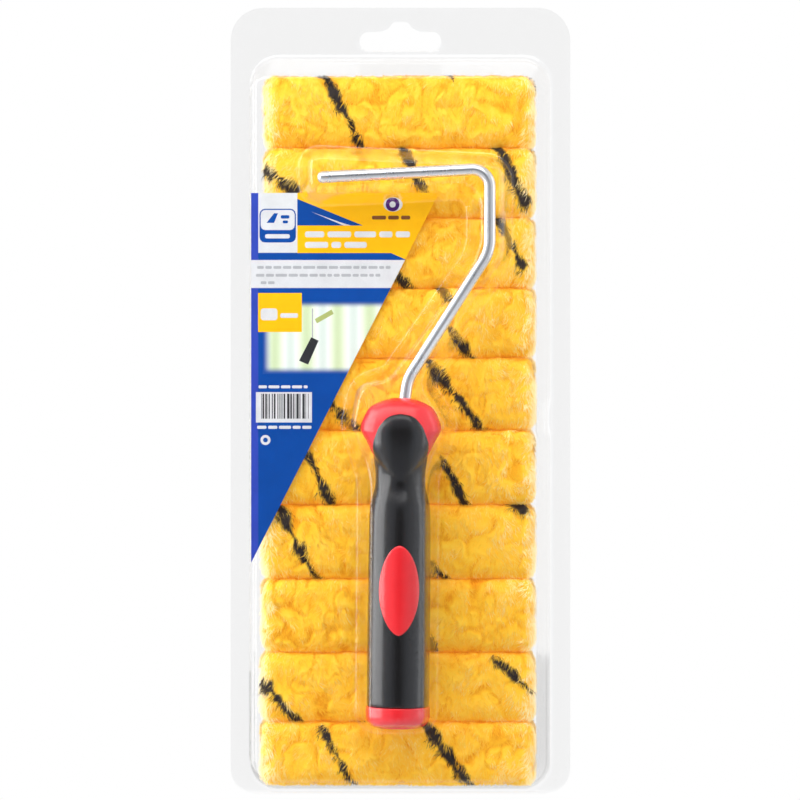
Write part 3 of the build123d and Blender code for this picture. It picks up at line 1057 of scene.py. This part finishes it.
def card_edge(z):
    """x of the card's slanting edge at a height."""
    return CARD_RIGHT - (CARD_TOP - z) / CARD_SLOPE


def box_shape(x1, x2, z1, z2, corner=0.0):
    points = [(x1, z1), (x2, z1), (x2, z2), (x1, z2)]
    if not corner:
        return points
    return [tuple(p) for p in rounded_path(points, [corner] * 4, True, step=9, arc_step=corner / 2)]


def disc_shape(x, z, radius, squash=1.0):
    return [(x + radius * math.cos(a), z + radius * squash * math.sin(a))
            for a in full_turn(20)]


def word_bars(rng, x1, x2, z, height, ink):
    """A row of plain rounded bars, as long as words, where a line of print would be."""
    shapes, x = [], x1
    while x < x2 - height:
        end = min(x + height * rng.uniform(1.6, 4.2), x2)
        shapes.append((box_shape(x, end, z - height / 2, z + height / 2, height * 0.35), ink))
        x = end + height * 0.55
    return shapes


def card_shapes():
    """Flat inked shapes on the card, in its own plane, each over the ones before it."""
    rng = np.random.default_rng(7)
    left, top, foot = -57.6, -112.8, -143.4
    picture = [(left, top), (card_edge(top) - 0.05, top),
               (card_edge(foot) - 0.05, foot), (left, foot)]
    banner = [(-43.1, CARD_TOP), (18, CARD_TOP), (2.6, -95.7), (-4.0, -92.8), (-43.1, -92.8)]
    shapes = [
        (banner, "orange"),
        # The printed blue strip down the card's left side. Its lighter, purpler ink is a painted
        # reflection of the cover's rounded edge.
        (box_shape(CARD_LEFT, -59.4, -300, CARD_TOP), "edge"),
        (box_shape(-59.4, -43.1, -92.7, CARD_TOP), "silver"),
        ([(-43.1, -70.2), (-15.7, -81.3), (-43.1, -81.3)], "blue"),
        ([(-37.4, -75.5), (-25.0, -80.0), (-20.6, -81.3), (-23.8, -81.3)], "paper"),
        (box_shape(-58.9, -43.7, -88.4, -74.3, 2.3), "blue"),
        (box_shape(-58.4, -44.2, -83.2, -74.8, 1.9), "paper"),
        ([(-56.0, -80.2), (-52.8, -76.2), (-51.2, -76.2), (-52.8, -80.2)], "blue"),
        (box_shape(-50.0, -46.4, -78.4, -77.0, 0.5), "blue"),
        (box_shape(-49.2, -47.0, -80.4, -79.2, 0.4), "blue"),
        (box_shape(-56.6, -46.2, -86.7, -84.9, 0.8), "paper"),
        (disc_shape(-3.1, -72.5, 4.0, 0.75), "paper"),
        (disc_shape(-3.3, -72.5, 2.9), "purple"),
        (disc_shape(-3.3, -72.5, 1.3), "paper"),
        (box_shape(-66, 3.5, -107.4, -95.7), "paper"),
        (picture, "picture"),
        ([(-37.0, -116.0), (-36.5, -116.0), (-36.5, -129.0), (-37.0, -129.0)], "grey"),
        ([(-35.8, -120.4), (-28.8, -116.4), (-27.9, -118.2), (-34.9, -122.2)], "olive"),
        ([(-37.3, -128.0), (-34.2, -129.4), (-38.6, -139.4), (-42.4, -137.8)], "black"),
        (box_shape(-59.5, -41.2, -125.8, -109.5), "orange"),
        (box_shape(-58.4, -51.4, -120.9, -115.9, 1.2), "paper"),
        (box_shape(-60.4, -37.0, -163.6, -150.9), "paper"),
        (disc_shape(-56.4, -170.9, 2.1), "paper"),
        (disc_shape(-56.4, -170.9, 1.0), "blue"),
    ]
    for bars in (
        (-39.9, 4.0, -85.0, 2.5, "paper"), (-39.9, -13.6, -89.4, 2.5, "paper"),
        (-11.9, 6.1, -78.0, 1.6, "caption"), (-59.9, -3.9, -98.8, 1.2, "grey"),
        (-60.4, -8.4, -102.1, 1.2, "grey"), (-58.4, -52.6, -105.2, 1.2, "grey"),
        (-50.2, -42.0, -118.9, 1.9, "paper"), (-59.3, -38.8, -148.7, 1.2, "paper"),
        (-59.9, -37.2, -165.6, 1.3, "paper"),
    ):
        shapes += word_bars(rng, *bars)
    x = -58.2
    while x < -38.6:
        wide = rng.choice([0.25, 0.4, 0.7, 1.0])
        shapes.append((box_shape(x, x + wide, -162.0, -151.6), "black"))
        x += wide + rng.choice([0.3, 0.45, 0.8])
    return shapes


def picture_material():
    """A pale picture of a part-painted wall, which fades into the blue round its edges."""
    material, tree, shader = new_material("print_picture")
    place = node(tree, "ShaderNodeTexCoord").outputs["Object"]
    split = node(tree, "ShaderNodeSeparateXYZ", {"Vector": place})
    stretch = node(tree, "ShaderNodeMapping", {"Scale": (1, 1, 0.12), "Vector": place})
    bands = node(tree, "ShaderNodeTexWave", {
        "Scale": 24.0, "Distortion": 1.2, "Detail": 3.0, "Vector": stretch.outputs["Vector"],
    }, wave_type="BANDS", bands_direction="X")
    wall = ramp(tree, bands.outputs["Fac"], [
        (0.0, (0.62, 0.74, 0.45, 1)), (0.35, (0.80, 0.88, 0.70, 1)),
        (0.75, (0.84, 0.89, 0.84, 1)), (1.0, (0.70, 0.79, 0.72, 1))])
    shown = 1.0
    for axis, start, end in (("X", -0.0575, -0.0535), ("Z", -0.1432, -0.1400),
                             ("Z", -0.1130, -0.1160)):
        shown = maths(tree, "MULTIPLY", shown, faded(tree, split.outputs[axis], start, end))
    feed(tree, shader, {
        "Base Color": blend(tree, shown, INKS["blue"] + (1,), wall),
        "Roughness": scaled(tree, noise(tree, 140.0), 0.28, 0.42),
    })
    return material


def insert_card():
    """The printed card: flat coloured shapes, with plain bars where the words would be."""
    shapes = card_shapes()
    bottom = CARD_TOP - CARD_SLOPE * (CARD_RIGHT - CARD_LEFT)
    outline = [(CARD_LEFT, CARD_TOP), (CARD_LEFT, bottom), (CARD_RIGHT, CARD_TOP)]
    points, edges = [], []
    for ring in (outline, *(ring for ring, _ in shapes)):
        start = len(points)
        points.extend(Vector(p) for p in ring)
        edges.extend((start + k, start + (k + 1) % len(ring)) for k in range(len(ring)))
    places, _, triangles, *_ = delaunay_2d_cdt(points, edges, [], 0, 1e-5)
    names = [*INKS, "picture"]
    rings = [(np.array(ring), names.index(ink)) for ring, ink in shapes]
    border = np.array(outline)
    faces, indices = [], []
    for triangle in triangles:
        middle = sum((places[k] for k in triangle), Vector((0, 0))) / len(triangle)
        if contains(border, middle):
            ink = 0
            for ring, index in rings:
                if contains(ring, middle):
                    ink = index
            faces.append(tuple(triangle))
            indices.append(ink)
    used = sorted({k for face in faces for k in face})
    index = {k: i for i, k in enumerate(used)}
    vertices = [(places[k][0], -CARD_DEPTH, places[k][1]) for k in used]
    materials = [printed_material("print_" + ink, INKS[ink]) for ink in INKS] + [picture_material()]
    obj = piece("card", vertices, [tuple(index[k] for k in face) for face in faces], materials,
                "cover_half", ["insert_card"], smooth=False, indices=indices)
    face_outward(obj, forward=True)
    thicken(obj, CARD_THICKNESS)


# The scene -----------------------------------------------------------------------------------

def seen_white(tree, shader, share=1.0):
    """Shows the camera plain white in place of a shader, by a share from 0 to 1."""
    camera_ray = node(tree, "ShaderNodeLightPath").outputs["Is Camera Ray"]
    white = node(tree, "ShaderNodeEmission", {"Color": grey(1.0)})
    mix = node(tree, "ShaderNodeMixShader", {
        "Fac": maths(tree, "MULTIPLY", camera_ray, share),
        1: shader, 2: white.outputs["Emission"]})
    return mix.outputs["Shader"]


FLOOR = -690.0                   # z of the floor, clear of the cover when it hangs open


def stage():
    """A pale floor under the pack, which fades into white. Gloss doesn't show its front part."""
    material, tree, shader = new_material("pale_floor")
    feed(tree, shader, {"Base Color": grey(0.55), "Roughness": 0.9})
    place = node(tree, "ShaderNodeTexCoord").outputs["Object"]
    away = node(tree, "ShaderNodeVectorMath", {0: place}, operation="LENGTH").outputs["Value"]
    share = faded(tree, away, 0.7, 1.5, 0.75, 1.0)
    feed(tree, tree.nodes["Material Output"],
         {"Surface": seen_white(tree, shader.outputs["BSDF"], share)})
    for name, front, back in (("floor", -400, 4500), ("floor_front", -2500, -400)):
        mesh = bpy.data.meshes.new(name)
        corners = [(-2500, front), (2500, front), (2500, back), (-2500, back)]
        mesh.from_pydata([(x * MM, y * MM, FLOOR * MM) for x, y in corners], [], [(0, 1, 2, 3)])
        mesh.materials.append(material)
        obj = add_object(name, mesh)
        obj.visible_glossy = name == "floor"


def light(name, place, aim, size, power, height):
    """A softbox at a place, turned to face another, with its sides in millimetres."""
    data = bpy.data.lights.new(name, "AREA")
    data.energy = power
    data.shape = "RECTANGLE"
    data.size = size * MM
    data.size_y = height * MM
    obj = add_object(name, data)
    obj.location = Vector(place) * MM
    obj.rotation_euler = (Vector(aim) - Vector(place)).to_track_quat("-Z", "Y").to_euler()
    return obj


def camera():
    """Level with the middle of the pack, straight in front, as far off as a table-top camera."""
    distance, view, sensor = 1250.0, 344.0, 36.0
    data = bpy.data.cameras.new("camera")
    data.sensor_width = sensor
    data.lens = sensor * distance / view
    obj = add_object("camera", data)
    obj.location = Vector((-0.2, -distance, -154.2)) * MM
    obj.rotation_euler = (math.radians(90), 0, 0)
    bpy.context.scene.camera = obj


def world():
    """A bright studio to the sides and behind the pack, and a dim one behind the camera."""
    made = bpy.data.worlds.new("studio")
    bpy.context.scene.world = made
    made.use_nodes = True
    tree = made.node_tree
    place = node(tree, "ShaderNodeTexCoord").outputs["Generated"]
    split = node(tree, "ShaderNodeSeparateXYZ", {"Vector": place})
    around = maths(tree, "DIVIDE", maths(tree, "ARCCOSINE", split.outputs["Y"]), math.pi)
    background = tree.nodes["Background"]
    feed(tree, background, {"Color": ramp(tree, around, [
        (0.0, grey(1.0)), (0.28, grey(1.0)), (0.52, grey(0.68)), (0.85, (0.56, 0.60, 0.67, 1)),
        (0.955, grey(0.07)), (1.0, grey(0.04))])})
    feed(tree, tree.nodes["World Output"],
         {"Surface": seen_white(tree, background.outputs["Background"])})


middle = (0, 0, -154)
camera()
stage()
world()
light("left_softbox", (-1000, -120, 60), middle, 1000, 13.5, 1100)
light("right_softbox", (1060, -100, 0), middle, 300, 1.6, 1100)
light("top_front", (-150, -700, 720), middle, 1300, 9.5, 750).visible_glossy = False
light("top_sheen", (-145, -667, 680), middle, 1300, 6.0, 700)
front_cover()
back_shell()
fold_bead()
wire_rod()
guard()
grip()
inlay()
end_cap()
refills()
insert_card()

scene = bpy.context.scene
scene.view_settings.view_transform = "Standard"
scene.cycles.transparent_max_bounces = 24
